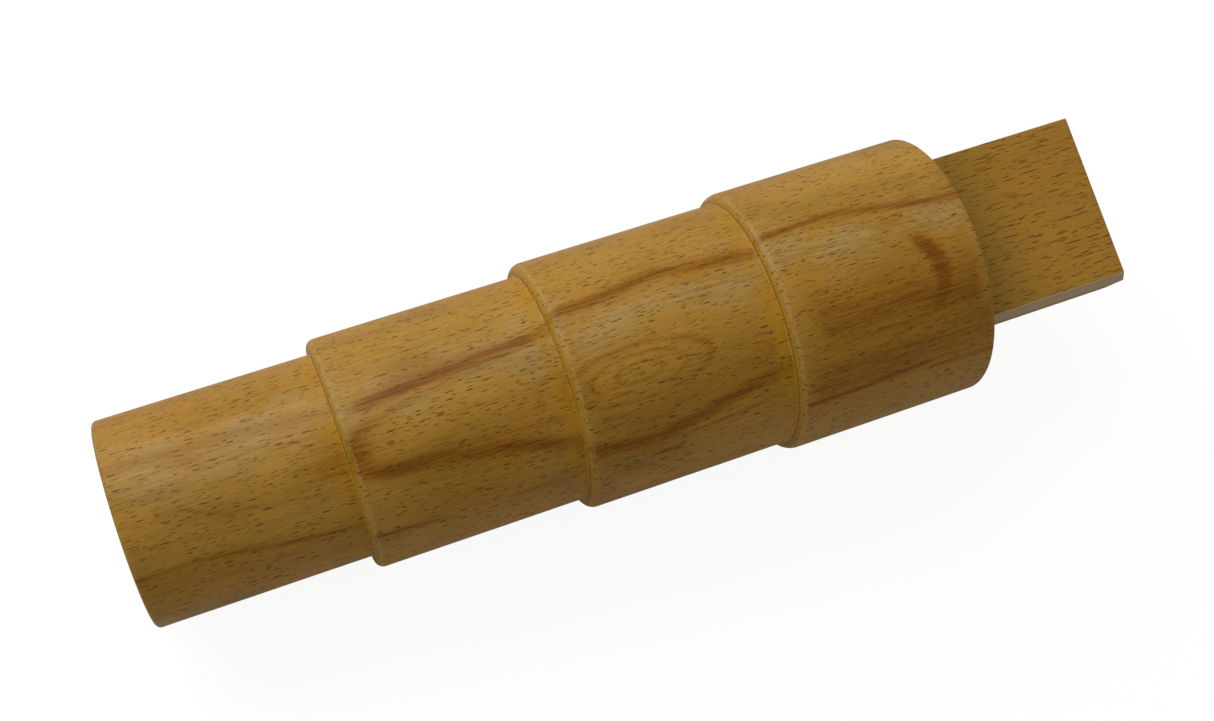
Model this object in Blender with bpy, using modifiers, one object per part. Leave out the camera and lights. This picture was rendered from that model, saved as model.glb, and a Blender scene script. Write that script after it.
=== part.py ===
"""Stepped bracelet mandrel: a turned beech body with four round steps, on a flat tang for a bench vice.

The body lies along +X, with the centre of its small end at the origin. The tang is a planed board with a
narrower, thinner tenon on its inner end, which is glued into a blind mortise in the body's large end. The
tang's broad faces look along +Z and -Z, and are gripped by the vice jaws. All sizes are in metres.
"""

import math

import bmesh
import bpy
from mathutils import Vector

OBJECT_NAME = "stepped_bracelet_mandrel"

# The turned steps, from the small end to the large end: diameter, length, and the radius of the rounding
# on the edge that faces the small end, which a bracelet slides over.
STEP_DIAMETERS = (0.0570, 0.0645, 0.0710, 0.0760)
STEP_LENGTHS = (0.0586, 0.0596, 0.0598, 0.0590)
STEP_EDGE_RADII = (0.0013, 0.0024, 0.0026, 0.0030)
LARGE_END_EDGE_RADIUS = 0.0006
TURNED_SIDES = 72
ARC_SEGMENTS = 4

# The tang: how far it stands out of the large end, and how far its middle lies from the axis towards +Y.
TANG_REACH = 0.0545
TANG_WIDTH = 0.0510
TANG_THICKNESS = 0.0160
TANG_SIDE_OFFSET = 0.0027
TANG_CHAMFER = 0.0020

# The tenon on the tang's inner end, hidden in the body: its length, how far the tang's edges and its broad
# faces step in to it, and the glue gap round it and under the tang.
TENON_LENGTH = 0.0450
TENON_EDGE_SHOULDER = 0.0040
TENON_FACE_SHOULDER = 0.0030
GLUE_GAP = 0.0003

BODY_LENGTH = sum(STEP_LENGTHS)
TENON_WIDTH = TANG_WIDTH - 2.0 * TENON_EDGE_SHOULDER
TENON_THICKNESS = TANG_THICKNESS - 2.0 * TENON_FACE_SHOULDER
MERGE_DISTANCE = 0.00001


def remove_scene_objects():
    for scene_object in list(bpy.data.objects):
        bpy.data.objects.remove(scene_object, do_unlink=True)


def make_collection(name):
    collection = bpy.data.collections.new(name)
    bpy.context.scene.collection.children.link(collection)
    return collection


def wood_material(name, colour, roughness):
    """Oiled or varnished wood: never metallic, with its own colour and roughness."""
    material = bpy.data.materials.new(name)
    material.use_nodes = True
    principled = material.node_tree.nodes["Principled BSDF"]
    principled.inputs["Base Color"].default_value = (*colour, 1.0)
    principled.inputs["Roughness"].default_value = roughness
    principled.inputs["Metallic"].default_value = 0.0
    return material


def link_mesh_object(name, mesh, collection, material=None):
    mesh_object = bpy.data.objects.new(name, mesh)
    collection.objects.link(mesh_object)
    if material:
        mesh.materials.append(material)
    return mesh_object


def edge_arc(radius, height, edge_radius, facing):
    """Points of a quarter round between a step's side and its end face, from the higher point to the lower.

    facing is +1 for the edge of an end face that looks up the axis, and -1 for one that looks down.
    """
    centre_radius = radius - edge_radius
    centre_height = height - facing * edge_radius
    points = []
    for index in range(ARC_SEGMENTS + 1):
        turn = 0.5 * math.pi * index / ARC_SEGMENTS
        angle = 0.5 * math.pi - turn if facing > 0 else -turn
        out = edge_radius * math.cos(angle)
        up = edge_radius * math.sin(angle)
        points.append((centre_radius + out, centre_height + up))
    return points


def body_profile():
    """Half the turned outline as (radius, height) points, from the large end's centre to the small end's."""
    height = BODY_LENGTH
    largest_radius = 0.5 * STEP_DIAMETERS[-1]
    points = [(0.0, height)]
    points += edge_arc(largest_radius, height, LARGE_END_EDGE_RADIUS, 1)
    for step in reversed(range(len(STEP_DIAMETERS))):
        height -= STEP_LENGTHS[step]
        points += edge_arc(0.5 * STEP_DIAMETERS[step], height, STEP_EDGE_RADII[step], -1)
        inner_radius = 0.5 * STEP_DIAMETERS[step - 1] if step else 0.0
        points.append((inner_radius, height))
    return points


def make_stepped_body(collection, material):
    """The body is turned: its outline is swept round local Z, and the object then lies down along world X."""
    points = body_profile()
    mesh = bpy.data.meshes.new("stepped_body")
    vertices = [(radius, 0.0, height) for radius, height in points]
    edges = [(index, index + 1) for index in range(len(points) - 1)]
    mesh.from_pydata(vertices, edges, [])
    body = link_mesh_object("stepped_body", mesh, collection, material)
    body.rotation_euler = (0.0, 0.5 * math.pi, 0.0)
    screw = body.modifiers.new("turning", "SCREW")
    screw.axis = "Z"
    screw.angle = 2.0 * math.pi
    screw.steps = TURNED_SIDES
    screw.render_steps = TURNED_SIDES
    screw.use_merge_vertices = True
    screw.merge_threshold = MERGE_DISTANCE
    screw.use_smooth_shade = True
    return body


def box_mesh(name, size):
    """A box centred on its own origin."""
    shape = bmesh.new()
    bmesh.ops.create_cube(shape, size=1.0)
    bmesh.ops.scale(shape, vec=size, verts=shape.verts)
    mesh = bpy.data.meshes.new(name)
    shape.to_mesh(mesh)
    shape.free()
    return mesh


def add_box(name, start, end, width, thickness, collection, material=None):
    """A board in line with the tang, from start to end along X."""
    mesh = box_mesh(name, Vector((end - start, width, thickness)))
    board = link_mesh_object(name, mesh, collection, material)
    board.location = (0.5 * (start + end), TANG_SIDE_OFFSET, 0.0)
    return board


def chamfer_near_arrises(mesh):
    """Cuts a 45 degree chamfer along the two long arrises on a board's -Y side."""
    shape = bmesh.new()
    shape.from_mesh(mesh)
    near_arrises = []
    for edge in shape.edges:
        first, second = (vertex.co for vertex in edge.verts)
        runs_lengthwise = first.y == second.y and first.z == second.z
        if runs_lengthwise and first.y < 0.0:
            near_arrises.append(edge)
    bmesh.ops.bevel(shape, geom=near_arrises, offset=TANG_CHAMFER, segments=1, affect="EDGES", profile=0.5)
    shape.to_mesh(mesh)
    shape.free()


def add_boolean(target, other, operation):
    boolean = target.modifiers.new(other.name, "BOOLEAN")
    boolean.operation = operation
    boolean.solver = "EXACT"
    boolean.object = other
    other.hide_render = True
    other.display_type = "WIRE"


def make_tang(collection, helpers, material):
    """The board outside the body, with its tenon joined to it. The tenon starts inside the board."""
    board_start = BODY_LENGTH + GLUE_GAP
    board_end = BODY_LENGTH + TANG_REACH
    tenon_start = BODY_LENGTH - TENON_LENGTH
    tenon_end = board_start + 0.5 * (board_end - board_start)
    tang = add_box("tang", board_start, board_end, TANG_WIDTH, TANG_THICKNESS, collection, material)
    chamfer_near_arrises(tang.data)
    tenon = add_box("tenon", tenon_start, tenon_end, TENON_WIDTH, TENON_THICKNESS, helpers)
    add_boolean(tang, tenon, "UNION")
    return tang


def cut_mortise(body, cutters):
    """A blind mortise in the large end, larger than the tenon by the glue gap on every side."""
    start = BODY_LENGTH - TENON_LENGTH - GLUE_GAP
    end = BODY_LENGTH + TENON_LENGTH
    width = TENON_WIDTH + 2.0 * GLUE_GAP
    thickness = TENON_THICKNESS + 2.0 * GLUE_GAP
    mortise = add_box("mortise", start, end, width, thickness, cutters)
    add_boolean(body, mortise, "DIFFERENCE")


def main():
    remove_scene_objects()
    parts = make_collection(OBJECT_NAME)
    cutters = make_collection("cutters")
    body_beech = wood_material("body_beech", (0.47, 0.27, 0.075), 0.38)
    tang_beech = wood_material("tang_beech", (0.42, 0.25, 0.08), 0.45)
    body = make_stepped_body(parts, body_beech)
    cut_mortise(body, cutters)
    make_tang(parts, cutters, tang_beech)


main()
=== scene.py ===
"""The looks of a stepped bracelet mandrel: varnished beech, turned in four steps, on a planed vice tang.

The file is laid out as an add-on with one operator for each piece and one for the stage. Lengths are in
metres. Inside the materials, patterns are worked out in millimetres.
"""

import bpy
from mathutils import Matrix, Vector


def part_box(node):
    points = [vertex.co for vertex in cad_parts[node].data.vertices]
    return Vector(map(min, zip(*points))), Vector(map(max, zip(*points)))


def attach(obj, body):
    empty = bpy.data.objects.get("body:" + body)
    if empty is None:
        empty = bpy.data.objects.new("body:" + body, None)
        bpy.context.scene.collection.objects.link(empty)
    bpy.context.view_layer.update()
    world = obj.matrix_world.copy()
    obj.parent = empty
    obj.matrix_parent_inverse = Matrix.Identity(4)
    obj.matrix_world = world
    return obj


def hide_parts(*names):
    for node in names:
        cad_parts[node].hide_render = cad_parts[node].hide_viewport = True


bl_info = {
    "name": "Stepped bracelet mandrel",
    "version": (1, 0, 0),
    "blender": (4, 5, 0),
    "location": "3D View > Sidebar > Mandrel",
    "description": "Builds the turned body and the vice tang of a wooden bracelet mandrel, and its stage",
    "category": "Object",
}

import math

import bpy
import numpy as np
from mathutils import Matrix, Vector

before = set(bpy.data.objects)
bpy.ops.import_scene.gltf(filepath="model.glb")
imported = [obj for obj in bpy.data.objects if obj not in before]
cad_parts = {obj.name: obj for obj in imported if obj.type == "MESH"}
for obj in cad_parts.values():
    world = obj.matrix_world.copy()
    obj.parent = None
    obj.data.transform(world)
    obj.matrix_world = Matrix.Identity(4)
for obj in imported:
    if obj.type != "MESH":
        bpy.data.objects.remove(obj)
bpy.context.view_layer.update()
BODY_LOW, BODY_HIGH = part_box("stepped_body")
TANG_LOW, TANG_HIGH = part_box("tang")
MM = 0.001


# ------------------------ sizes and colours a user would change


def length_property(name, description, default):
    return bpy.props.FloatProperty(name=name, description=description, default=default, unit="LENGTH")


def colour_property(name, description, default):
    return bpy.props.FloatVectorProperty(
        name=name, description=description, subtype="COLOR", size=3, default=default
    )


class TurnedBodySizes(bpy.types.PropertyGroup):
    """The turned body, from the small end to the large end."""

    diameters: bpy.props.FloatVectorProperty(
        name="Step diameters",
        description="Diameter of each step, smallest first",
        size=4,
        default=(0.0570, 0.0645, 0.0710, BODY_HIGH[2] - BODY_LOW[2]),
        unit="LENGTH",
    )
    shoulders: bpy.props.FloatVectorProperty(
        name="Shoulders",
        description="Where each step after the first starts along the axis",
        size=3,
        default=(0.0586, 0.1182, 0.1780),
        unit="LENGTH",
    )
    edge_radii: bpy.props.FloatVectorProperty(
        name="Leading edges",
        description="Rounding of each step's edge towards the small end",
        size=4,
        default=(0.0013, 0.0024, 0.0026, 0.0030),
        unit="LENGTH",
    )
    rear_edge_radius: length_property("Rear edge", "Rounding of the large end's rim", 0.0006)
    varnish_fillet: length_property(
        "Varnish fillet", "Varnish gathered in the corner in front of each shoulder", 0.0005
    )
    sides: bpy.props.IntProperty(name="Sides", description="Faces round the body", default=320, min=24)


class TangSizes(bpy.types.PropertyGroup):
    """The board that the vice holds, and its hidden tenon."""

    chamfer: length_property("Chamfer", "Cut along the two near arrises", 0.0020)
    arris_radius: length_property("Arris", "Rounding of every other edge", 0.0004)
    tenon_width: length_property("Tenon width", "Across the hidden tenon", 0.0430)
    tenon_thickness: length_property("Tenon thickness", "Through the hidden tenon", 0.0100)
    glue_gap: length_property("Glue gap", "Between the tenon and its mortise", 0.0003)


class BeechColours(bpy.types.PropertyGroup):
    """Colours of varnished steamed beech, linear; some stand for painted light and shade, as noted at each.
    """

    pale: colour_property("Pale wood", "Early wood", (0.48, 0.255, 0.038))
    warm: colour_property("Warm wood", "Late wood", (0.41, 0.198, 0.018))
    # Olive also paints the shade on the tang next to the body, with some dirt there.
    olive: colour_property("Olive wood", "Dull patches, grime and round end faces", (0.29, 0.162, 0.022))
    heart: colour_property("Heart streaks", "Brown streaks", (0.20, 0.061, 0.0))
    stain: colour_property("Stain", "Warm tint about the streaks", (0.34, 0.130, 0.0))
    tang: colour_property("Tang wood", "The planed board", (0.44, 0.228, 0.038))
    # Golden grain full of varnish on each rounded step edge, made lighter as painted light against the
    # edge's shade.
    lightened_soaked_grain: colour_property("Soaked grain", "Soaked with varnish behind a corner", (0.43, 0.235, 0.014))
    # The pale corner line is partly varnish and partly a painted highlight on the varnish fillet.
    varnish: colour_property("Varnish line", "Thick pale varnish in corners", (0.50, 0.33, 0.10))
    fleck: colour_property("Ray flecks", "Short dark dashes", (0.14, 0.040, 0.0))
    # Painted sheen: pale patches near the top where the highlight falls, and a painted highlight along each
    # rounded step edge.
    sheen_highlight: colour_property("Worn varnish", "Pale haze on top and on the edges", (0.45, 0.32, 0.13))
    # Pale grey on the chamfer is a painted reflection of the white floor.
    bare: colour_property("Chamfer", "Thinly finished chamfer", (0.54, 0.43, 0.27))
    # Golden varnish by the shoulders, partly a painted reflection of the shoulder face.
    pooled_and_reflected: colour_property("Pooled varnish", "Deep golden varnish by the shoulders", (0.48, 0.232, 0.004))


class StageSettings(bpy.types.PropertyGroup):
    """Floor, light and camera."""

    azimuth: bpy.props.FloatProperty(
        name="Azimuth",
        description="Camera's direction round the object",
        default=math.radians(-65.96),
        unit="ROTATION",
    )
    elevation: bpy.props.FloatProperty(
        name="Elevation", description="Camera's height angle", default=math.radians(76.39), unit="ROTATION"
    )
    roll: bpy.props.FloatProperty(
        name="Roll", description="Turn about the line of sight", default=math.radians(47.42), unit="ROTATION"
    )
    distance: length_property("Distance", "Camera to the point it aims at", 0.4602)
    aim: bpy.props.FloatVectorProperty(
        name="Aim",
        description="Point the camera aims at",
        size=3,
        default=(0.1369, 0.0022, 0.0),
        unit="LENGTH",
    )
    focal_length: bpy.props.FloatProperty(
        name="Focal length", description="In millimetres on a 36 mm sensor", default=48.66, unit="CAMERA"
    )
    key_angle: bpy.props.FloatProperty(
        name="Key angle", description="Degrees from +Z towards +Y that the main light leans", default=50.0
    )
    key_power: bpy.props.FloatProperty(name="Key power", description="Main light", default=8.9, unit="POWER")
    world_strength: bpy.props.FloatProperty(name="World", description="Light from all round", default=0.325)
    floor_size: length_property("Floor", "Side of the floor", 6.0)


# ------------------------ shapes

# Rings along a step, and how deep the tool's waves, the slight oval and the plane's hollows are.
RING_SPACING = 1.2 * MM
TOOL_WAVE = 0.03 * MM
OVALNESS = 0.04 * MM
PLANE_HOLLOW = 0.04 * MM
TENON_CHAMFER = 0.5 * MM
MORTISE_RINGS = 8
TENON_RINGS = 10
BOARD_RINGS = 50


def mesh_from_rings(name, rings):
    """Closed surface through rings of points, an array of shape (rings, points, 3).

    The first and last rings are single points, repeated. Each ring runs anticlockwise seen from +X, and
    the rings follow each other from the first pole to the last, so the faces look outwards.
    """
    inner = rings[1:-1]
    count, around = inner.shape[:2]
    vertices = np.concatenate([rings[:1, 0], inner.reshape(-1, 3), rings[-1:, 0]])
    here = np.arange(around)
    after = (here + 1) % around
    row = 1 + around * np.arange(count - 1)[:, None]
    quads = np.stack([row + here, row + around + here, row + around + after, row + after], axis=-1)
    first_cap = np.stack([np.zeros(around, int), 1 + here, 1 + after], axis=-1)
    last_row = 1 + around * (count - 1)
    last_cap = np.stack([np.full(around, len(vertices) - 1), last_row + after, last_row + here], axis=-1)
    faces = quads.reshape(-1, 4)[:, ::-1].tolist() + first_cap[:, ::-1].tolist() + last_cap[:, ::-1].tolist()
    mesh = bpy.data.meshes.new(name)
    mesh.from_pydata(vertices.tolist(), [], faces)
    mesh.update()
    mesh.shade_smooth()
    return mesh


def add_object(name, data):
    made = bpy.data.objects.new(name, data)
    bpy.context.scene.collection.objects.link(made)
    return made


def add_piece(name, mesh, material, node):
    piece = add_object(name, mesh)
    mesh.materials.append(material)
    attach(piece, "root")
    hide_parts(node)
    return piece


def quarter_round(axis_place, radius, rounding, facing, points=9):
    """(place, radius) points of a rounded edge between a side and an end face.

    The centre is one rounding in from both. The points turn a quarter circle about it, from the side to
    the end face where facing is +1 and from the end face to the side where facing is -1.
    """
    turn = np.linspace(0.0, 0.5 * math.pi, points)
    turn = turn if facing > 0 else turn[::-1]
    place = axis_place - facing * rounding + facing * rounding * np.sin(turn)
    return np.stack([place, radius - rounding + rounding * np.cos(turn)], axis=1)


def inner_fillet(axis_place, radius, rounding, points=5):
    """(place, radius) points of the hollow corner where a step's side meets the next shoulder."""
    turn = np.linspace(0.0, 0.5 * math.pi, points)
    place = axis_place - rounding + rounding * np.sin(turn)
    return np.stack([place, radius + rounding - rounding * np.cos(turn)], axis=1)


def spaced(first, last, spacing):
    """Points between two (place, radius) points, without the two themselves."""
    count = max(2, int(math.dist(first, last) / spacing))
    share = np.linspace(0.0, 1.0, count + 1)[1:-1, None]
    return np.array(first) + share * (np.array(last) - np.array(first))


def turned_profile(sizes, length):
    """The turned outline from the small end's rim to the large end's, as (place, radius) points.

    Each step is a rounded leading edge, a straight side, a fillet of varnish and the next flat shoulder.
    """
    radii = [0.5 * diameter for diameter in sizes.diameters]
    starts = [0.0, *sizes.shoulders]
    runs = [quarter_round(starts[0], radii[0], sizes.edge_radii[0], -1)]
    for step in range(1, len(radii)):
        runs.append(inner_fillet(starts[step], radii[step - 1], sizes.varnish_fillet))
        runs.append(quarter_round(starts[step], radii[step], sizes.edge_radii[step], -1))
    runs.append(quarter_round(length, radii[-1], sizes.rear_edge_radius, 1))
    outline = [runs[0]]
    for before, after in zip(runs, runs[1:]):
        between = spaced(before[-1], after[0], RING_SPACING)
        outline += [between, after]
    return np.concatenate(outline)


def tool_waviness(place, angle):
    """How far the turned side falls below its true radius: slow waves along the axis and a slight oval."""
    slow = 0.5 + 0.5 * np.sin(place / (7.3 * MM) + 1.7 * np.sin(place / (23.0 * MM)))
    oval = 0.5 + 0.5 * np.cos(2.0 * angle + place / (90.0 * MM))
    return TOOL_WAVE * slow + OVALNESS * oval


def rectangle_radius(angle, half_width, half_thickness):
    """Distance from a rectangle's middle to its nearest side along each direction."""
    side = half_width / np.maximum(np.abs(np.cos(angle)), 1e-9)
    face = half_thickness / np.maximum(np.abs(np.sin(angle)), 1e-9)
    return np.minimum(side, face)


def flat_ring(where, outline):
    """A closed outline of (y, z) points as a ring across the axis."""
    return np.concatenate([np.full((len(outline), 1), where), outline], axis=1)


def turned_body_rings(sizes, tang, length, tang_middle, tenon_length):
    """The outline swept round the axis: y = radius cos(angle), z = radius sin(angle).

    Rings then run over the large end, where circles pass over into the mortise's rectangle, and down the
    mortise to its floor.
    """
    angle = np.linspace(0.0, 2.0 * math.pi, sizes.sides, endpoint=False)
    profile = turned_profile(sizes, length)
    place, radius = profile[:, :1], profile[:, 1:]
    radius = radius - tool_waviness(place, angle[None, :]) * np.clip(radius / radius.max(), 0.0, 1.0)
    circle = np.stack([np.cos(angle), np.sin(angle)], axis=-1)
    along = np.broadcast_to(place[..., None], (*radius.shape, 1))
    sides = np.concatenate([along, radius[..., None] * circle], axis=-1)

    small_face = [flat_ring(0.0, share * sides[0, :, 1:]) for share in (0.0, 0.05, 0.35, 0.7, 0.97)]
    middle = np.array([tang_middle, 0.0])
    half_width = 0.5 * tang.tenon_width + tang.glue_gap
    half_thickness = 0.5 * tang.tenon_thickness + tang.glue_gap
    mouth = middle + rectangle_radius(angle, half_width, half_thickness)[:, None] * circle
    rim = sides[-1, :, 1:]
    large_face = [flat_ring(length, rim + share * (mouth - rim)) for share in (0.03, 0.4, 0.8, 0.99, 1.0)]
    floor_place = length - tenon_length - tang.glue_gap
    wall = [flat_ring(where, mouth) for where in np.linspace(length - 0.2 * MM, floor_place, MORTISE_RINGS)]
    floor = [flat_ring(floor_place, middle + share * (mouth - middle)) for share in (0.98, 0.5, 0.1, 0.0)]
    return np.concatenate([small_face, sides, large_face, wall, floor])


def board_outline(width, thickness, chamfer, rounding, middle, corner_points=5, side_points=12):
    """Closed outline of a board's section as (y, z) points: a box with its two -Y corners cut off.

    Each of the six corners is an arc about a point one rounding inside the edges, and the sides between
    the arcs are straight.
    """
    half_width = 0.5 * width
    half_thickness = 0.5 * thickness
    corners = np.array(
        [
            (half_width, half_thickness),
            (-half_width + chamfer, half_thickness),
            (-half_width, half_thickness - chamfer),
            (-half_width, -half_thickness + chamfer),
            (-half_width + chamfer, -half_thickness),
            (half_width, -half_thickness),
        ]
    )
    before = corners - np.roll(corners, 1, axis=0)
    normals = np.stack([before[:, 1], -before[:, 0]], axis=1) / np.linalg.norm(before, axis=1)[:, None]
    start = np.arctan2(normals[:, 1], normals[:, 0])
    sweep = (np.roll(start, -1) - start) % (2.0 * math.pi)
    bisector = normals + np.roll(normals, -1, axis=0)
    inward = bisector / (1.0 + np.sum(normals * np.roll(normals, -1, axis=0), axis=1))[:, None]
    centres = corners - rounding * inward
    share = np.linspace(0.0, 1.0, corner_points)
    turn = start[:, None] + sweep[:, None] * share
    arcs = centres[:, None] + rounding * np.stack([np.cos(turn), np.sin(turn)], axis=-1)
    along = np.linspace(0.0, 1.0, side_points + 2)[1:-1, None]
    sides = arcs[:, -1:, :] + along * (np.roll(arcs[:, :1, :], -1, axis=0) - arcs[:, -1:, :])
    outline = np.concatenate([arcs, sides], axis=1).reshape(-1, 2)
    return outline + np.array([middle, 0.0])


def tang_rings(sizes, low, high, body_length):
    """The tang's section carried along X: tenon, shoulder, board, rounded end and flat end face.

    Towards the end the section shrinks by nearly rounding (1 - cos turn) while the place moves on by
    rounding sin turn, which rounds the end's arrises.
    """
    width, thickness = high[1] - low[1], high[2] - low[2]
    middle = 0.5 * (low[1] + high[1])
    rounding = sizes.arris_radius
    shoulder = body_length + sizes.glue_gap

    tenon = board_outline(sizes.tenon_width, sizes.tenon_thickness, TENON_CHAMFER, rounding, middle)
    board = board_outline(width, thickness, sizes.chamfer, rounding, middle)
    centre = np.array([middle, 0.0])
    rings = [flat_ring(low[0], centre + share * (tenon - centre)) for share in (0.0, 0.1, 0.6, 0.98)]
    rings += [flat_ring(where, tenon) for where in np.linspace(low[0], shoulder, TENON_RINGS)]
    rings += [flat_ring(shoulder, tenon + share * (board - tenon)) for share in (0.02, 0.5, 0.98)]
    rings += [flat_ring(where, board) for where in np.linspace(shoulder, high[0] - rounding, BOARD_RINGS)]
    for turn in np.linspace(0.0, 0.5 * math.pi, 6)[1:]:
        shrink = rounding * (1.0 - math.cos(turn)) * 0.95
        smaller = (width - 2.0 * shrink, thickness - 2.0 * shrink)
        outline = board_outline(*smaller, sizes.chamfer, rounding - shrink, middle)
        rings.append(flat_ring(high[0] - rounding + rounding * math.sin(turn), outline))
    end_face = rings[-1][:, 1:]
    rings += [flat_ring(high[0], centre + share * (end_face - centre)) for share in (0.97, 0.6, 0.1, 0.0)]
    return np.array(rings)


def plane_waviness(points):
    """How far the planed faces fall below true: slow hollows from the plane and the scraper."""
    along = points[..., 0] / (11.0 * MM)
    across = points[..., 1] / (17.0 * MM)
    return PLANE_HOLLOW * (0.5 + 0.5 * np.sin(along + 1.3 * np.sin(across)))


# ------------------------ the figure of the wood

STREAK_ATTRIBUTE = "heart_streaks"

# The brown heart streaks: the places each passes, as (millimetres from the small end, degrees from +Z
# towards +Y), half its width in millimetres, its strength, and how many millimetres it fades in and out.
HEART_STREAKS = (
    (((0, 24), (30, 23), (58.6, 18)), 1.6, 0.45, (0.1, 0.1)),
    (((0, -36), (18, -35.5), (30, -39), (45, -44), (58.6, -46.5)), 1.0, 0.7, (0.1, 0.1)),
    (((58.8, 12), (75, 15), (90, 17), (107, 19), (118.2, 21.5)), 2.2, 1.0, (9, 0.1)),
    (((58.8, -5), (69, 4.5), (89, 12.5), (108, 18.5), (118.2, 21.5)), 0.8, 0.55, (2, 0.1)),
    (((58.8, -13), (65, -17.5), (79, -20.5), (89, -23), (103, -27.5), (118.2, -37)), 2.7, 0.95, (1, 0.1)),
    (((76, -18), (90, -19.5), (105, -20), (118.2, -20.5)), 1.8, 0.5, (12, 0.1)),
    (((58.8, -51), (70, -52), (84, -53.5)), 0.8, 1.0, (0.1, 8)),
    (((94, -54), (101, -54), (109, -54)), 0.7, 0.7, (5, 5)),
    (((118.3, 24), (138, 26.5), (150, 29), (158, 27), (178, 24.3)), 2.3, 0.9, (0.1, 0.1)),
    (((118.3, -39), (138, -41.7), (150, -38), (164, -32.5), (178, -28.7)), 2.8, 0.9, (0.1, 0.1)),
    (((119, -25), (148, -28), (178, -22)), 8.0, 0.42, (5, 5)),
    (((118.3, -44), (140, -45), (158, -44), (178, -39.3)), 0.8, 0.6, (0.1, 6)),
    (((135, -51.6), (140, -51.6), (145, -51.8)), 0.8, 1.0, (3, 3)),
    (((178.1, 27.4), (201, 27.8), (213, 24.8), (227, 20.8), (237, 19.6)), 1.6, 0.85, (0.1, 0.1)),
    (((182, -14), (205, -18), (236, -20)), 10.0, 0.72, (7, 3)),
    (((179, -40), (205, -39), (237, -35)), 8.0, 0.62, (6, 1)),
    (((178.1, -44), (193.6, -38.2), (207.4, -30), (218, -25)), 1.0, 0.65, (4, 4)),
    (((178.1, -49.3), (197.5, -48.8), (222, -46.4)), 1.0, 1.0, (3, 8)),
    (((212, -50.2), (225, -51), (237, -51.6)), 0.9, 0.8, (6, 0.1)),
    (((0, 118), (30, 121), (58.6, 127)), 1.2, 0.7, (0.1, 0.1)),
    (((58.8, 132), (85, 126), (118.2, 119)), 1.7, 0.85, (0.1, 0.1)),
    (((118.3, 116), (150, 122), (178, 128)), 1.5, 0.9, (0.1, 0.1)),
    (((178.1, 125), (210, 117), (237, 112)), 1.4, 0.8, (0.1, 0.1)),
    (((0, -121), (30, -126), (58.6, -124)), 1.6, 0.8, (0.1, 0.1)),
    (((58.8, -122), (90, -116), (118.2, -119)), 1.1, 0.85, (0.1, 0.1)),
    (((118.3, -123), (150, -131), (178, -128)), 1.8, 0.9, (0.1, 0.1)),
    (((178.1, -131), (205, -139), (237, -136)), 1.3, 0.8, (0.1, 0.1)),
)

# Ovals where a hollow in the growth layers is cut: middle (millimetres, degrees), half length and half
# width in millimetres, thickness, the shares of the half length between which it grows from nothing to
# its full strength, that strength, and the strength of the fine ovals inside it.
HEART_OVALS = (
    ((90, -7), (30.0, 10.0), 1.1, (-0.5, -1.0), 0.75, 0.5),
    ((90, -9), (29.0, 6.0), 2.4, (-0.75, -1.0), 0.9, 0.0),
    ((136.3, -11), (20.0, 7.3), 0.8, (2.0, 1.6), 0.6, 0.68),
    ((199.5, -9), (25.0, 16.0), 2.0, (0.6, 0.95), 1.3, 0.45),
    ((88, 168), (26.0, 9.0), 1.0, (2.0, 1.6), 0.7, 0.5),
    ((205, -172), (24.0, 12.0), 1.2, (2.0, 1.6), 0.8, 0.5),
)
OVAL_STEP = 0.33


def smooth_step(low, high, value):
    share = np.clip((value - low) / (high - low), 0.0, 1.0)
    return share * share * (3.0 - 2.0 * share)


def smooth_path(points, where):
    """A cubic through the points, which passes each with the mean slope of its two neighbours."""
    at, value = np.array(points, float).T
    slope = np.gradient(value, at)
    stretch = np.clip(np.searchsorted(at, where) - 1, 0, len(at) - 2)
    span = at[stretch + 1] - at[stretch]
    rise = value[stretch + 1] - value[stretch]
    share = np.clip((where - at[stretch]) / span, 0.0, 1.0)
    leaving = slope[stretch] * span - rise
    arriving = rise - slope[stretch + 1] * span
    bow = share * (1.0 - share) * ((1.0 - share) * leaving + share * arriving)
    return value[stretch] + share * rise + bow


def heart_strength(points):
    """How strongly heart streaks are drawn at each point: the strongest of all paths and ovals.

    A path is a bell across its width, of the arc length between a point's angle and the path's. An oval
    is a bell about radius 1, where the radius is the length of (along / half length, across / half width).
    """
    along = points[:, 0] / MM
    angle = np.degrees(np.arctan2(points[:, 1], points[:, 2]))
    arc = np.radians(1.0) * np.hypot(points[:, 1], points[:, 2]) / MM
    drawn = np.zeros(len(points))
    for path, half_width, strength, fades in HEART_STREAKS:
        across = arc * (angle - smooth_path(path, along))
        start, end = path[0][0], path[-1][0]
        ends = smooth_step(start, start + fades[0], along) * smooth_step(end, end - fades[1], along)
        drawn = np.maximum(drawn, strength * ends * np.exp(-((across / half_width) ** 2)))
    for middle, halves, thickness, grows, strength, inner in HEART_OVALS:
        across = arc * ((angle - middle[1] + 180.0) % 360.0 - 180.0)
        share = (along - middle[0]) / halves[0]
        radius = np.hypot(share, across / halves[1])
        band = np.exp(-(((radius - 1.0) * halves[1] / thickness) ** 2))
        ripples = (0.5 + 0.5 * np.cos(2.0 * math.pi * radius / OVAL_STEP)) ** 3
        ripples *= smooth_step(1.5, 0.9, radius)
        side = smooth_step(*grows, share)
        drawn = np.maximum(drawn, side * np.maximum(strength * band, inner * ripples))
    return drawn


def draw_streaks(mesh):
    """Keeps the streaks' strength on the mesh, for the material to read."""
    points = np.empty(3 * len(mesh.vertices), np.float32)
    mesh.vertices.foreach_get("co", points)
    attribute = mesh.attributes.new(STREAK_ATTRIBUTE, "FLOAT", "POINT")
    attribute.data.foreach_set("value", heart_strength(points.reshape(-1, 3)).astype(np.float32))


# ------------------------ node building


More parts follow.
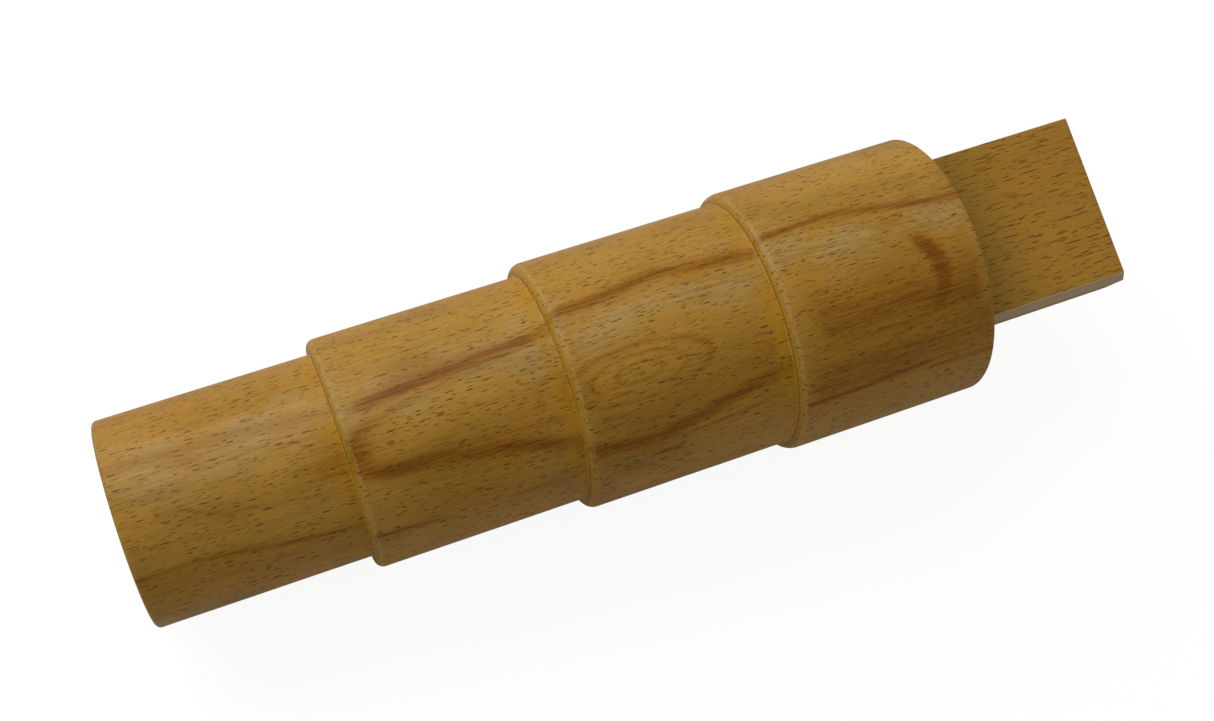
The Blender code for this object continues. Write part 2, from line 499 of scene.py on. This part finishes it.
class NodeSheet:
    """Adds nodes to a tree. A method that makes one returns its output socket, ready for the next."""

    def __init__(self, tree, inputs=None):
        self.tree = tree
        self.inputs = inputs

    def node(self, kind, settings=None, sockets=None):
        made = self.tree.nodes.new(kind)
        for name, value in (settings or {}).items():
            setattr(made, name, value)
        for name, value in (sockets or {}).items():
            self.feed(made.inputs[name], value)
        return made

    def feed(self, socket, value):
        """Links a socket to another, or sets its value. A colour of three numbers is made opaque."""
        if isinstance(value, bpy.types.NodeSocket):
            self.tree.links.new(value, socket)
        elif hasattr(socket.default_value, "__len__") and len(socket.default_value) == 4 and len(value) == 3:
            socket.default_value = (*value, 1.0)
        else:
            socket.default_value = value

    def feed_shader(self, socket, shader):
        self.tree.links.new(shader, socket)

    def math(self, operation, *values):
        made = self.node("ShaderNodeMath", {"operation": operation})
        for socket, value in zip(made.inputs, values):
            self.feed(socket, value)
        return made.outputs[0]

    def vector(self, operation, *values):
        made = self.node("ShaderNodeVectorMath", {"operation": operation})
        for socket, value in zip(made.inputs, values):
            self.feed(socket, value)
        return made.outputs["Value" if operation == "LENGTH" else "Vector"]

    def plus(self, first, second):
        return self.math("ADD", first, second)

    def minus(self, first, second):
        return self.math("SUBTRACT", first, second)

    def product(self, first, *others):
        for other in others:
            first = self.math("MULTIPLY", first, other)
        return first

    def about_zero(self, value, amount):
        """A value about one half, moved to lie about zero and scaled."""
        return self.product(self.minus(value, 0.5), amount)

    def scaled(self, vector, factors):
        return self.vector("MULTIPLY", vector, factors)

    def split(self, vector):
        return self.node("ShaderNodeSeparateXYZ", sockets={"Vector": vector}).outputs

    def joined(self, x, y, z):
        return self.node("ShaderNodeCombineXYZ", sockets={"X": x, "Y": y, "Z": z}).outputs[0]

    def noise(self, vector, detail=3.0, roughness=0.5, scale=1.0):
        sockets = {"Vector": vector, "Scale": scale, "Detail": detail, "Roughness": roughness}
        return self.node("ShaderNodeTexNoise", sockets=sockets).outputs["Fac"]

    def bell(self, offset, reach):
        """exp(-(offset / reach) squared): 1 at no offset, about a third at one reach."""
        share = self.math("DIVIDE", offset, reach)
        return self.math("EXPONENT", self.product(share, share, -1.0))

    def ramp(self, value, low, high, to_low=0.0, to_high=1.0):
        """A smooth step from to_low at low to to_high at high."""
        sockets = {"Value": value, "From Min": low, "From Max": high, "To Min": to_low, "To Max": to_high}
        made = self.node("ShaderNodeMapRange", {"interpolation_type": "SMOOTHSTEP"}, sockets)
        return made.outputs["Result"]

    def mix(self, share, first, second, blend="MIX"):
        made = self.node("ShaderNodeMix", {"data_type": "RGBA", "blend_type": blend})
        self.feed(made.inputs[0], share)
        self.feed(made.inputs[6], first)
        self.feed(made.inputs[7], second)
        return made.outputs[2]

    def lay(self, colour, over, *shares):
        """Covers a colour with another by the product of the shares."""
        return self.mix(self.product(*shares), colour, tuple(over))


def new_group(name, inputs, outputs):
    """A shader node group with named sockets, and a sheet to fill it with.

    The inputs map each name to its default number, or to VECTOR. The outputs are names of numbers.
    """
    group = bpy.data.node_groups.new(name, "ShaderNodeTree")
    for socket_name, default in inputs.items():
        kind = "NodeSocketVector" if default == "VECTOR" else "NodeSocketFloat"
        socket = group.interface.new_socket(socket_name, in_out="INPUT", socket_type=kind)
        if default != "VECTOR":
            socket.default_value = default
    for socket_name in outputs:
        group.interface.new_socket(socket_name, in_out="OUTPUT", socket_type="NodeSocketFloat")
    return group, NodeSheet(group, group.nodes.new("NodeGroupInput").outputs)


def close_group(group, results):
    """Puts the group's results on its output, and returns the group."""
    output = group.nodes.new("NodeGroupOutput")
    for name, socket in results.items():
        group.links.new(socket, output.inputs[name])
    return group


def place_group(sheet, name, **sockets):
    """Puts a shared group into a material, and builds it if no material has used it yet.

    Socket names are written with underscores for spaces.
    """
    group = bpy.data.node_groups.get(name) or SHARED_GROUPS[name]()
    made = sheet.node("ShaderNodeGroup", {"node_tree": group})
    for name, value in sockets.items():
        sheet.feed(made.inputs[name.replace("_", " ").capitalize()], value)
    return made.outputs


def growth_layers_group():
    """Height above one growth layer, in millimetres.

    Layers are nearly flat sheets across the heart direction, tilted about the axis, a little curved round a
    far pith, sunk in a hollow along the length, and bent by slow noise. Where a turned step cuts the hollow,
    its layers show as nested ovals.
    """
    group, sheet = new_group(
        "Growth layers",
        {
            "Place": "VECTOR",
            "Tilt": 0.14,
            "Pith distance": 150.0,
            "Level": 33.8,
            "Hollow depth": 6.5,
            "Hollow middle": 148.0,
            "Hollow reach": 75.0,
            "Rise start": 205.0,
            "Rise reach": 9.4,
            "Bend": 1.4,
        },
        ["Height"],
    )
    given = sheet.inputs
    along, across, up = sheet.split(given["Place"])
    cosine = sheet.math("COSINE", given["Tilt"])
    sine = sheet.math("SINE", given["Tilt"])
    height = sheet.minus(sheet.product(up, cosine), sheet.product(across, sine))
    sideways = sheet.plus(sheet.product(across, cosine), sheet.product(up, sine))
    curve = sheet.math("DIVIDE", sheet.product(sideways, sideways), given["Pith distance"])
    height = sheet.minus(height, sheet.product(curve, 0.5))
    well = sheet.bell(sheet.minus(along, given["Hollow middle"]), given["Hollow reach"])
    sunk = sheet.minus(given["Level"], sheet.product(well, given["Hollow depth"]))
    past = sheet.math("DIVIDE", sheet.minus(along, given["Rise start"]), given["Rise reach"])
    past = sheet.math("MAXIMUM", past, 0.0)
    layer = sheet.plus(sunk, sheet.product(past, past))
    slow = sheet.noise(sheet.scaled(given["Place"], (0.012, 0.05, 0.05)), detail=2.0)
    bend = sheet.product(sheet.minus(slow, 0.5), sheet.product(given["Bend"], 2.0))
    height = sheet.plus(sheet.minus(height, layer), bend)
    return close_group(group, {"Height": height})


def ring_lines_group():
    """Thin late-wood lines at a regular spacing of height, uneven in strength."""
    group, sheet = new_group("Ring lines", {"Place": "VECTOR", "Height": 0.0, "Spacing": 1.6}, ["Mask"])
    given = sheet.inputs
    drift = sheet.noise(sheet.joined(sheet.product(given["Height"], 0.23), 0.0, 0.0), detail=1.0)
    phase = sheet.math("DIVIDE", given["Height"], given["Spacing"])
    saw = sheet.math("FRACT", sheet.plus(phase, sheet.product(drift, 2.2)))
    line = sheet.math("POWER", saw, 5.0)
    fade = sheet.ramp(saw, 0.93, 1.0, 1.0, 0.0)
    strength = sheet.noise(sheet.scaled(given["Place"], (0.02, 0.12, 0.12)), detail=2.0)
    mask = sheet.product(sheet.product(line, fade), sheet.ramp(strength, 0.35, 0.7))
    return close_group(group, {"Mask": mask})


def heart_wood_group():
    """Turns a softly drawn streak into brown heart wood: frayed edges, and darker lines along the grain."""
    group, sheet = new_group("Heart wood", {"Place": "VECTOR", "Drawn": 0.0, "Fraying": 1.6}, ["Mask"])
    given = sheet.inputs
    frayed = sheet.noise(sheet.scaled(given["Place"], (0.05, 0.9, 0.9)), detail=6.0, roughness=0.7)
    frayed = sheet.about_zero(frayed, given["Fraying"])
    mask = sheet.ramp(sheet.plus(given["Drawn"], frayed), 0.3, 1.0)
    lines_at = sheet.vector("ADD", sheet.scaled(given["Place"], (0.035, 1.9, 1.9)), (5.0, 2.0, 8.0))
    lines = sheet.ramp(sheet.noise(lines_at, detail=3.0, roughness=0.6), 0.38, 0.58, 0.3, 1.0)
    return close_group(group, {"Mask": sheet.product(mask, lines)})


def ray_flecks_group():
    """Short dark dashes: one flat ellipsoid in each cell of a random lattice, cut by the surface.

    Its length runs with the grain, its width across and its depth up towards the pith, as rays do. So the
    dashes are thin where the surface follows the growth layers and grow wider towards its sides.
    """
    group, sheet = new_group(
        "Ray flecks",
        {
            "Place": "VECTOR",
            "Length": 2.4,
            "Width": 0.44,
            "Depth": 1.2,
            "Cell length": 4.2,
            "Cell width": 1.35,
            "Cell depth": 1.9,
            "Seed": 0.0,
        },
        ["Mask"],
    )
    given = sheet.inputs
    cell = sheet.joined(given["Cell length"], given["Cell width"], given["Cell depth"])
    wobble = sheet.noise(sheet.scaled(given["Place"], (0.45, 0.6, 0.6)), detail=1.0)
    wobble = sheet.about_zero(wobble, 0.5)
    shifted = sheet.vector("ADD", given["Place"], sheet.joined(given["Seed"], wobble, wobble))
    in_cells = sheet.vector("DIVIDE", shifted, cell)
    lattice = sheet.node("ShaderNodeTexVoronoi", sockets={"Vector": in_cells, "Scale": 1.0})
    away = sheet.vector("MULTIPLY", sheet.vector("SUBTRACT", in_cells, lattice.outputs["Position"]), cell)
    chance = sheet.node("ShaderNodeSeparateColor", sockets={"Color": lattice.outputs["Color"]}).outputs
    half_length = sheet.product(given["Length"], sheet.ramp(chance[0], 0.0, 1.0, 0.3, 0.68))
    half_width = sheet.product(given["Width"], sheet.ramp(chance[1], 0.0, 1.0, 0.4, 0.7))
    half_depth = sheet.product(given["Depth"], 0.5)
    share = sheet.vector("DIVIDE", away, sheet.joined(half_length, half_width, half_depth))
    mask = sheet.ramp(sheet.vector("LENGTH", share), 0.6, 1.05, 1.0, 0.0)
    mask = sheet.product(mask, sheet.ramp(chance[2], 0.0, 0.8, 0.5, 1.0))
    return close_group(group, {"Mask": mask})


def fibre_group():
    """Fine lengthwise fibres and short pores, as a value about one half."""
    group, sheet = new_group("Fibres", {"Place": "VECTOR", "Fineness": 1.0}, ["Value"])
    given = sheet.inputs
    stretched = sheet.scaled(given["Place"], (0.07, 1.6, 1.6))
    sockets = {"Vector": stretched, "Scale": given["Fineness"]}
    scaled = sheet.node("ShaderNodeVectorMath", {"operation": "SCALE"}, sockets).outputs["Vector"]
    return close_group(group, {"Value": sheet.noise(scaled, detail=5.0, roughness=0.65)})


def band_group():
    """A band across the axis: 1 from Start to End, with soft sides of the widths given."""
    group, sheet = new_group(
        "Band", {"Along": 0.0, "Start": 0.0, "End": 1.0, "Start fade": 1.0, "End fade": 1.0}, ["Mask"]
    )
    given = sheet.inputs
    rising = sheet.math("DIVIDE", sheet.minus(given["Along"], given["Start"]), given["Start fade"])
    falling = sheet.math("DIVIDE", sheet.minus(given["End"], given["Along"]), given["End fade"])
    mask = sheet.ramp(sheet.plus(sheet.math("MINIMUM", rising, falling), 1.0), 0.0, 1.0)
    return close_group(group, {"Mask": mask})


SHARED_GROUPS = {
    "Growth layers": growth_layers_group,
    "Ring lines": ring_lines_group,
    "Heart wood": heart_wood_group,
    "Ray flecks": ray_flecks_group,
    "Fibres": fibre_group,
    "Band": band_group,
}


def fleck_sizes(largest, cell, seed=0.0):
    """Length, width and depth of the largest ray fleck and of the cell each lies in, in millimetres."""
    names = ("length", "width", "depth", "cell_length", "cell_width", "cell_depth", "seed")
    return dict(zip(names, (*largest, *cell, seed)))


BROAD_FLECKS = fleck_sizes((2.5, 0.36, 0.95), (3.4, 1.05, 1.35))
FINE_FLECKS = fleck_sizes((1.9, 0.3, 0.8), (2.8, 1.0, 1.3), seed=37.0)
LONG_FLECKS = fleck_sizes((5.2, 0.42, 0.75), (6.2, 1.25, 0.95), seed=11.0)
SHORT_FLECKS = fleck_sizes((3.2, 0.34, 0.7), (4.6, 1.2, 0.95), seed=71.0)

# The board's growth layers stand nearly on edge, and no hollow or rise bends them.
BOARD_LAYERS = {
    "tilt": 1.25,
    "hollow_depth": 0.0,
    "rise_start": 900.0,
    "level": 3.0,
    "bend": 0.8,
    "pith_distance": 60.0,
}

# Bands about each shoulder's corner, in millimetres past it: where one starts and ends, and the widths
# over which it fades in and out.
# Painted light in these bands: the golden one before a shoulder is partly a painted reflection of its face,
# the corner line partly a painted highlight, the rounded edge's grain is lightened against its shade, and
# the last band is a painted highlight on the rounded edge.
POOL_AND_REFLECTION_BAND = (-1.4, -0.1, 5.5, 0.2)
VARNISH_LINE_HIGHLIGHT_BAND = (-0.2, -0.1, 0.15, 0.1)
SOAKED_AND_LIGHTENED_BAND = (0.1, 0.5, 0.15, 0.9)
EDGE_HIGHLIGHT_BAND = (1.25, 1.5, 0.3, 0.6)

BUMP_DISTANCE = 0.06 * MM
SPECULAR_LEVEL = 0.12
COAT_WEIGHT = 0.1
COAT_ROUGHNESS = 0.3


def empty_material(name):
    material = bpy.data.materials.new(name)
    material.use_nodes = True
    material.node_tree.nodes.clear()
    return material, NodeSheet(material.node_tree)


def start_wood(name):
    """A material with only a Principled shader so far, and the surface's place in millimetres."""
    material, sheet = empty_material(name)
    shader = sheet.node("ShaderNodeBsdfPrincipled")
    shader.inputs["Specular IOR Level"].default_value = SPECULAR_LEVEL
    output = sheet.node("ShaderNodeOutputMaterial")
    sheet.feed_shader(output.inputs["Surface"], shader.outputs["BSDF"])
    metres = sheet.node("ShaderNodeTexCoord").outputs["Object"]
    place = sheet.scaled(metres, (1.0 / MM, 1.0 / MM, 1.0 / MM))
    return material, sheet, shader, place


def band(sheet, along, start, end, start_fade, end_fade):
    sockets = {"start": start, "end": end, "start_fade": start_fade, "end_fade": end_fade}
    return place_group(sheet, "Band", along=along, **sockets)["Mask"]


def painted_sheen(sheet, colours, place, colour):
    """Painted sheen: paler colour in patches across the grain, in a band along the body near its top, where
    the key light's broad highlight falls.
    """
    sideways = sheet.split(place)[1]
    ridge = sheet.bell(sheet.minus(sideways, 10.0), 10.0)
    patches = sheet.noise(sheet.scaled(place, (0.06, 0.09, 0.09)), detail=6.0, roughness=0.7)
    return sheet.lay(colour, colours.sheen_highlight, ridge, sheet.ramp(patches, 0.38, 0.62), 0.5)


def turned_wood_colour(sheet, colours, place, fibres):
    """Early and late wood in clouds and ring lines, with the brown heart streaks."""
    height = place_group(sheet, "Growth layers", place=place)["Height"]
    rings = place_group(sheet, "Ring lines", place=place, height=height)["Mask"]
    cloud = sheet.noise(sheet.scaled(place, (0.02, 0.06, 0.06)), detail=3.0)
    tone = sheet.plus(sheet.about_zero(fibres, 0.8), cloud)
    colour = sheet.mix(sheet.ramp(tone, 0.25, 0.75), tuple(colours.pale), tuple(colours.warm))
    patches_at = sheet.vector("ADD", sheet.scaled(place, (0.03, 0.07, 0.07)), (7.0, 3.0, 1.0))
    patches = sheet.ramp(sheet.noise(patches_at, detail=4.0), 0.45, 0.75, 0.0, 0.7)
    colour = sheet.lay(colour, colours.olive, patches)
    # Painted sheen: paler patches near the top where the highlight falls.
    colour = painted_sheen(sheet, colours, place, colour)
    colour = sheet.lay(colour, colours.heart, rings, 0.4)
    drawn = sheet.node("ShaderNodeAttribute", {"attribute_name": STREAK_ATTRIBUTE}).outputs["Fac"]
    colour = sheet.lay(colour, colours.stain, sheet.math("POWER", drawn, 0.7), 0.7)
    streaks = place_group(sheet, "Heart wood", place=place, drawn=drawn)["Mask"]
    colour = sheet.lay(colour, colours.heart, streaks, 0.85)
    return shade_fibres(sheet, colour, fibres, 0.82, 1.14)


def shade_fibres(sheet, colour, fibres, darkest, lightest):
    """Darkens and lightens a colour along the fibres."""
    shade = sheet.ramp(fibres, 0.3, 0.7, darkest, lightest)
    return sheet.mix(1.0, colour, sheet.joined(shade, shade, shade), blend="MULTIPLY")


def shoulder_finish(sheet, colours, sizes, place, colour):
    """Golden varnish before each shoulder, partly a painted reflection of the shoulder face; a thin pale
    line in the corner, partly varnish and partly a painted highlight on its fillet; golden grain full of
    varnish on the rounded edge, lightened as painted light against the edge's shade; and a painted highlight
    along the rounded edge.

    The bands are placed from the nearest corner: past the middle between two corners, the second counts.
    """
    along = sheet.split(place)[0]
    corners = [start / MM for start in sizes.shoulders]
    offset = sheet.minus(along, corners[0])
    for before, after in zip(corners, corners[1:]):
        beyond = sheet.math("GREATER_THAN", along, 0.5 * (before + after))
        offset = sheet.minus(offset, sheet.product(beyond, after - before))
    uneven = sheet.noise(sheet.scaled(place, (0.1, 0.08, 0.08)), detail=2.0)
    uneven = sheet.ramp(uneven, 0.3, 0.65, 0.3, 1.0)
    pooled_and_reflected = band(sheet, offset, *POOL_AND_REFLECTION_BAND)
    line = band(sheet, offset, *VARNISH_LINE_HIGHLIGHT_BAND)
    soaked_and_lightened = band(sheet, offset, *SOAKED_AND_LIGHTENED_BAND)
    edge = band(sheet, offset, *EDGE_HIGHLIGHT_BAND)
    # Golden varnish, partly a painted reflection of the shoulder face.
    colour = sheet.lay(colour, colours.pooled_and_reflected, pooled_and_reflected, uneven, 0.85)
    # Painted highlight along the rounded edge.
    colour = sheet.lay(colour, colours.sheen_highlight, edge, uneven, 0.45)
    # Grain full of varnish, lightened as painted light against the rounded edge's shade.
    colour = sheet.lay(colour, colours.lightened_soaked_grain, soaked_and_lightened, 0.65)
    # Pale corner line, partly varnish and partly a painted highlight on the fillet.
    return sheet.lay(colour, colours.varnish, line, uneven, 0.5)


def end_faces(sheet, colours, place, length, colour):
    """Darker, finely speckled end grain on the two round end faces."""
    sides = band(sheet, sheet.split(place)[0], 0.35, length - 0.25, 0.2, 0.1)
    speckle = sheet.noise(sheet.scaled(place, (1.0, 2.4, 2.4)), detail=4.0, roughness=0.7)
    bare = sheet.ramp(sheet.minus(1.0, sides), 0.0, 1.0)
    return sheet.lay(colour, colours.olive, bare, sheet.ramp(speckle, 0.35, 0.65, 0.3, 0.85))


def add_relief(sheet, shader, height, strength):
    """Bump from a height of about one, which stands for a few hundredths of a millimetre."""
    sockets = {"Strength": strength, "Distance": BUMP_DISTANCE, "Height": height}
    sheet.feed(shader.inputs["Normal"], sheet.node("ShaderNodeBump", sockets=sockets).outputs["Normal"])


def body_beech(sizes, colours):
    """The turned beech: growth layers in ovals, brown heart streaks, ray flecks and golden varnish."""
    material, sheet, shader, place = start_wood("body_beech")
    fibres = place_group(sheet, "Fibres", place=place)["Value"]
    colour = turned_wood_colour(sheet, colours, place, fibres)
    colour = shoulder_finish(sheet, colours, sizes, place, colour)
    colour = end_faces(sheet, colours, place, (BODY_HIGH[0] - BODY_LOW[0]) / MM, colour)
    broad = place_group(sheet, "Ray flecks", place=place, **BROAD_FLECKS)["Mask"]
    fine = place_group(sheet, "Ray flecks", place=place, **FINE_FLECKS)["Mask"]
    flecks = sheet.math("MAXIMUM", broad, sheet.product(fine, 0.7))
    colour = sheet.lay(colour, colours.fleck, flecks, 0.84)
    sheet.feed(shader.inputs["Base Color"], colour)

    rough = sheet.plus(0.46, sheet.about_zero(fibres, 0.25))
    sheet.feed(shader.inputs["Roughness"], sheet.plus(rough, sheet.product(flecks, 0.12)))
    marks = sheet.noise(sheet.scaled(place, (2.2, 0.05, 0.05)), detail=2.0)
    relief = sheet.minus(sheet.product(fibres, 0.35), sheet.product(flecks, 0.6))
    add_relief(sheet, shader, sheet.plus(relief, sheet.product(marks, 0.12)), 0.35)
    shader.inputs["Coat Weight"].default_value = COAT_WEIGHT
    shader.inputs["Coat Roughness"].default_value = COAT_ROUGHNESS
    return material


def tang_beech(sizes, colours):
    """The planed board: straight fine grain, long ray flecks, painted shade with some dirt next to the body,
    and pale grey on the chamfer as a painted reflection of the white floor.
    """
    material, sheet, shader, place = start_wood("tang_beech")
    fibres = place_group(sheet, "Fibres", place=place, fineness=0.8)["Value"]
    height = place_group(sheet, "Growth layers", place=place, **BOARD_LAYERS)["Height"]
    rings = place_group(sheet, "Ring lines", place=place, height=height, spacing=2.4)["Mask"]
    tone = sheet.plus(fibres, sheet.product(rings, 0.25))
    colour = sheet.mix(sheet.ramp(tone, 0.3, 0.8, 0.1, 0.7), tuple(colours.tang), tuple(colours.warm))
    colour = shade_fibres(sheet, colour, fibres, 0.88, 1.10)

    along, across, up = sheet.split(place)
    # Painted shade: olive next to the body, where the body shades the tang, with some dirt there too, fading
    # out over 26 mm towards the free end.
    body_shade_and_dirt = band(sheet, along, 0.0, BODY_HIGH[0] / MM + 7.0, 1.0, 26.0)
    colour = sheet.lay(colour, colours.olive, body_shade_and_dirt, 0.85)
    # Painted reflection: pale grey on the chamfer stands for the white floor mirrored in it.
    cut = (TANG_HIGH[2] - TANG_LOW[1] - sizes.chamfer) / MM
    chamfer = sheet.ramp(sheet.minus(up, across), cut - 0.25, cut - 0.1)
    colour = sheet.lay(colour, colours.bare, chamfer, 0.8)
    long_flecks = place_group(sheet, "Ray flecks", place=place, **LONG_FLECKS)["Mask"]
    short_flecks = place_group(sheet, "Ray flecks", place=place, **SHORT_FLECKS)["Mask"]
    flecks = sheet.math("MAXIMUM", long_flecks, short_flecks)
    flecks = sheet.product(flecks, sheet.minus(1.0, sheet.product(chamfer, 0.9)))
    colour = sheet.lay(colour, colours.fleck, flecks, 0.9)
    sheet.feed(shader.inputs["Base Color"], colour)

    sheet.feed(shader.inputs["Roughness"], sheet.plus(0.45, sheet.about_zero(fibres, 0.3)))
    relief = sheet.minus(sheet.product(fibres, 0.5), sheet.product(flecks, 0.6))
    add_relief(sheet, shader, relief, 0.4)
    return material


# ------------------------ operators


class MANDREL_OT_turned_body(bpy.types.Operator):
    """Builds the four-step turned body with its mortise"""

    bl_idname = "mandrel.turned_body"
    bl_label = "Turned body"

    def execute(self, context):
        sizes = context.scene.mandrel_body
        tang = context.scene.mandrel_tang
        length = BODY_HIGH[0] - BODY_LOW[0]
        tang_middle = 0.5 * (TANG_LOW[1] + TANG_HIGH[1])
        rings = turned_body_rings(sizes, tang, length, tang_middle, BODY_HIGH[0] - TANG_LOW[0])
        mesh = mesh_from_rings("turned_body", rings)
        draw_streaks(mesh)
        mesh.set_sharp_from_angle(angle=math.radians(50.0))
        material = body_beech(sizes, context.scene.mandrel_colours)
        piece = add_piece("turned_body", mesh, material, "stepped_body")
        return {"FINISHED"}


class MANDREL_OT_vice_tang(bpy.types.Operator):
    """Builds the planed tang with its hidden tenon"""

    bl_idname = "mandrel.vice_tang"
    bl_label = "Vice tang"

    def execute(self, context):
        sizes = context.scene.mandrel_tang
        rings = tang_rings(sizes, TANG_LOW, TANG_HIGH, BODY_HIGH[0])
        up = rings[..., 2]
        on_broad_face = np.abs(up) > 0.45 * (TANG_HIGH[2] - TANG_LOW[2])
        rings[..., 2] -= np.sign(up) * on_broad_face * plane_waviness(rings)
        mesh = mesh_from_rings("vice_tang", rings)
        mesh.set_sharp_from_angle(angle=math.radians(40.0))
        piece = add_piece("vice_tang", mesh, tang_beech(sizes, context.scene.mandrel_colours), "tang")
        return {"FINISHED"}


KEY_DISTANCE = 1.1
KEY_SIDE = 0.9
PAPER = (0.8, 0.8, 0.8)
SEEN_PAPER = (0.16, 0.16, 0.16)
SEEN_GLOW = 0.91


def resting_plane(sizes):
    """The floor touches the rounded leading edges of the last two steps.

    A line under two circles of radii a and b, whose centres are apart by (run, drop), slopes by
    atan(drop / run) + asin((b - a) / distance). Returns its slope and a point on it.
    """
    radii = [0.5 * diameter for diameter in sizes.diameters]
    first, second = sizes.edge_radii[2], sizes.edge_radii[3]
    first_centre = Vector((sizes.shoulders[1] + first, -(radii[2] - first)))
    second_centre = Vector((sizes.shoulders[2] + second, -(radii[3] - second)))
    apart = second_centre - first_centre
    slope = math.atan2(-apart.y, apart.x) + math.asin((second - first) / apart.length)
    down = Vector((-math.sin(slope), -math.cos(slope)))
    touch = first_centre + first * down
    return slope, touch


def stage_material():
    """White paper. The camera sees it glow close to pure white, with what is left of the shadow."""
    material, sheet = empty_material("stage_paper")
    paper = sheet.node("ShaderNodeBsdfDiffuse", sockets={"Color": PAPER})
    seen_paper = sheet.node("ShaderNodeBsdfDiffuse", sockets={"Color": SEEN_PAPER})
    glow = sheet.node("ShaderNodeEmission", sockets={"Color": (1.0, 1.0, 1.0), "Strength": SEEN_GLOW})
    seen = sheet.node("ShaderNodeAddShader")
    sheet.feed_shader(seen.inputs[0], seen_paper.outputs[0])
    sheet.feed_shader(seen.inputs[1], glow.outputs[0])
    both = sheet.node("ShaderNodeMixShader")
    sheet.feed(both.inputs[0], sheet.node("ShaderNodeLightPath").outputs["Is Camera Ray"])
    sheet.feed_shader(both.inputs[1], paper.outputs[0])
    sheet.feed_shader(both.inputs[2], seen.outputs[0])
    output = sheet.node("ShaderNodeOutputMaterial")
    sheet.feed_shader(output.inputs["Surface"], both.outputs[0])
    return material


def add_area_light(name, place, target, side, power):
    data = bpy.data.lights.new(name, "AREA")
    data.shape = "RECTANGLE"
    data.size = side
    data.size_y = side
    data.energy = power
    light = add_object(name, data)
    light.location = place
    light.rotation_euler = (Vector(target) - Vector(place)).to_track_quat("-Z", "Y").to_euler()


def add_camera(settings):
    """Aims along a direction given by azimuth and elevation, then turns about its own line of sight."""
    azimuth = settings.azimuth
    outwards = math.cos(settings.elevation)
    upwards = math.sin(settings.elevation)
    back = Vector((math.sin(azimuth) * outwards, -math.cos(azimuth) * outwards, upwards))
    level = back.to_track_quat("Z", "Y").to_matrix()
    data = bpy.data.cameras.new("camera")
    data.sensor_width = 36.0
    data.lens = settings.focal_length
    data.clip_start = 0.01
    camera = add_object("camera", data)
    turned = level @ Matrix.Rotation(settings.roll, 3, "Z")
    place = Vector(settings.aim) + back * settings.distance
    camera.matrix_world = Matrix.Translation(place) @ turned.to_4x4()
    bpy.context.scene.camera = camera


class MANDREL_OT_stage(bpy.types.Operator):
    """Sets the pale floor, the soft light and the camera"""

    bl_idname = "mandrel.stage"
    bl_label = "Stage"

    def execute(self, context):
        scene = context.scene
        settings = scene.mandrel_stage
        slope, touch = resting_plane(scene.mandrel_body)
        half = 0.5 * settings.floor_size
        corners = [(-half, -half, 0.0), (half, -half, 0.0), (half, half, 0.0), (-half, half, 0.0)]
        mesh = bpy.data.meshes.new("floor")
        mesh.from_pydata(corners, [], [(0, 1, 2, 3)])
        mesh.materials.append(stage_material())
        mesh.transform(Matrix.Translation((touch.x, 0.0, touch.y)) @ Matrix.Rotation(slope, 4, "Y"))
        add_object("floor", mesh)
        middle = Vector(settings.aim)
        key_angle = math.radians(settings.key_angle)
        towards_key = Vector((-0.3, math.sin(key_angle), math.cos(key_angle)))
        add_area_light("key", middle + KEY_DISTANCE * towards_key, middle, KEY_SIDE, settings.key_power)
        add_camera(settings)
        world = bpy.data.worlds.new("studio")
        world.use_nodes = True
        background = world.node_tree.nodes["Background"]
        background.inputs["Color"].default_value = (1.0, 1.0, 1.0, 1.0)
        background.inputs["Strength"].default_value = settings.world_strength
        scene.world = world
        scene.view_settings.view_transform = "Standard"
        return {"FINISHED"}


class MANDREL_PT_sidebar(bpy.types.Panel):
    """Lists the pieces and the stage"""

    bl_idname = "MANDREL_PT_sidebar"
    bl_label = "Bracelet mandrel"
    bl_space_type = "VIEW_3D"
    bl_region_type = "UI"
    bl_category = "Mandrel"

    def draw(self, context):
        for operator in OPERATORS:
            self.layout.operator(operator.bl_idname)
        for group, settings in SETTINGS.items():
            box = self.layout.box()
            for name in settings.__annotations__:
                box.prop(getattr(context.scene, group), name)


OPERATORS = (MANDREL_OT_turned_body, MANDREL_OT_vice_tang, MANDREL_OT_stage)
SETTINGS = {
    "mandrel_body": TurnedBodySizes,
    "mandrel_tang": TangSizes,
    "mandrel_colours": BeechColours,
    "mandrel_stage": StageSettings,
}


def register():
    for made in (*SETTINGS.values(), *OPERATORS, MANDREL_PT_sidebar):
        bpy.utils.register_class(made)
    for name, settings in SETTINGS.items():
        setattr(bpy.types.Scene, name, bpy.props.PointerProperty(type=settings))


def unregister():
    for name in SETTINGS:
        delattr(bpy.types.Scene, name)
    for made in (MANDREL_PT_sidebar, *reversed(OPERATORS), *reversed(SETTINGS.values())):
        bpy.utils.unregister_class(made)


def main():
    register()
    bpy.ops.mandrel.turned_body()
    bpy.ops.mandrel.vice_tang()
    bpy.ops.mandrel.stage()


if __name__ == "__main__":
    main()
